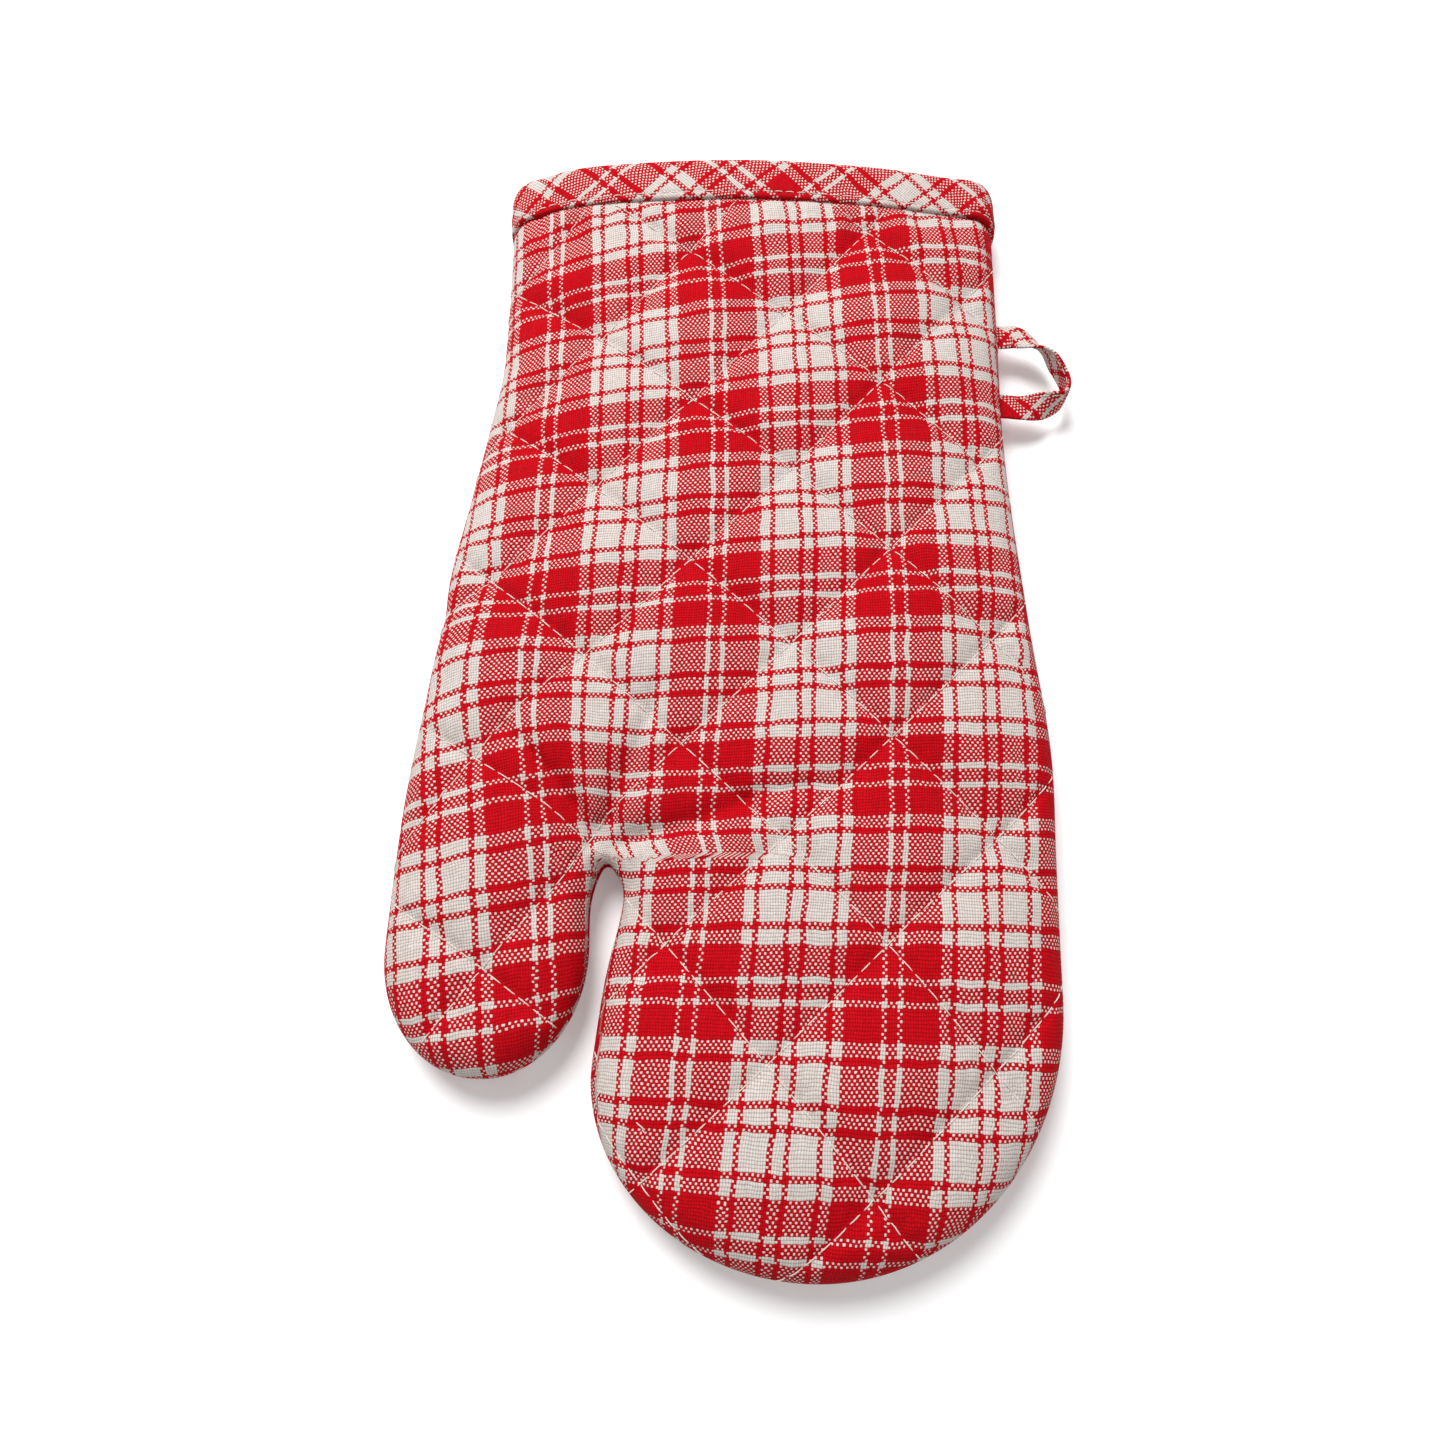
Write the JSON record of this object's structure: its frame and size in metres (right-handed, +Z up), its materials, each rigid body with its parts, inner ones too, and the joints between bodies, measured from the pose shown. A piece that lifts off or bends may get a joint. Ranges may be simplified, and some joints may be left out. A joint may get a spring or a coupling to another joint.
{
  "type": "oven mitt",
  "caption": "Quilted cotton oven mitt with a thumb, a long taped cuff and a tape hang loop, lying flat with its palm side up.",
  "frame": {"origin": "centre of the bounding box at its base, where the mitt lies on the table", "axes": "+Z up through the palm side, +Y from the fingertips to the cuff, +X towards the hang loop, thumb at -X"},
  "size_m": [0.2322, 0.3848, 0.0328],
  "materials": {
    "check_cotton": "plain-woven red and off-white checked cotton, matt",
    "batting": "loose cotton wadding",
    "lining_cotton": "plain off-white cotton, matt",
    "bias_tape": "the checked cotton cut on the bias, matt",
    "thread": "off-white spun sewing thread"
  },
  "bodies": {
    "hand": {"palm_shell_hand": "check_cotton", "back_shell_hand": "check_cotton", "palm_batting_hand": "batting", "back_batting_hand": "batting", "palm_lining_hand": "lining_cotton", "back_lining_hand": "lining_cotton", "seam_allowance_left": "check_cotton", "seam_allowance_right": "check_cotton", "seam_allowance_crotch": "check_cotton", "loop_tail_front": "bias_tape", "loop_tail_rear": "bias_tape", "cuff_binding": "bias_tape", "binding_topstitch": "thread"},
    "fingers": {"palm_shell_fingers": "check_cotton", "back_shell_fingers": "check_cotton", "palm_batting_fingers": "batting", "back_batting_fingers": "batting", "palm_lining_fingers": "lining_cotton", "back_lining_fingers": "lining_cotton", "seam_allowance_fingers": "check_cotton"},
    "thumb": {"palm_shell_thumb": "check_cotton", "back_shell_thumb": "check_cotton", "palm_batting_thumb": "batting", "back_batting_thumb": "batting", "palm_lining_thumb": "lining_cotton", "back_lining_thumb": "lining_cotton", "seam_allowance_thumb": "check_cotton"},
    "loop": {"hang_loop": "bias_tape"}
  },
  "joints": [
    {"name": "finger_fold", "type": "hinge", "parent": "hand", "child": "fingers", "pos_m": [0.01438, -0.08065, 0.028], "axis": [-1, 0, 0], "range_deg": [0, 70]},
    {"name": "thumb_fold", "type": "hinge", "parent": "hand", "child": "thumb", "pos_m": [-0.05062, -0.07265, 0.027], "axis": [-0.7431, 0.6691, 0], "range_deg": [0, 55]},
    {"name": "loop_swing", "type": "hinge", "parent": "hand", "child": "loop", "pos_m": [0.09284, 0.11335, 0.011], "axis": [0, -1, 0], "range_deg": [-60, 60]}
  ]
}
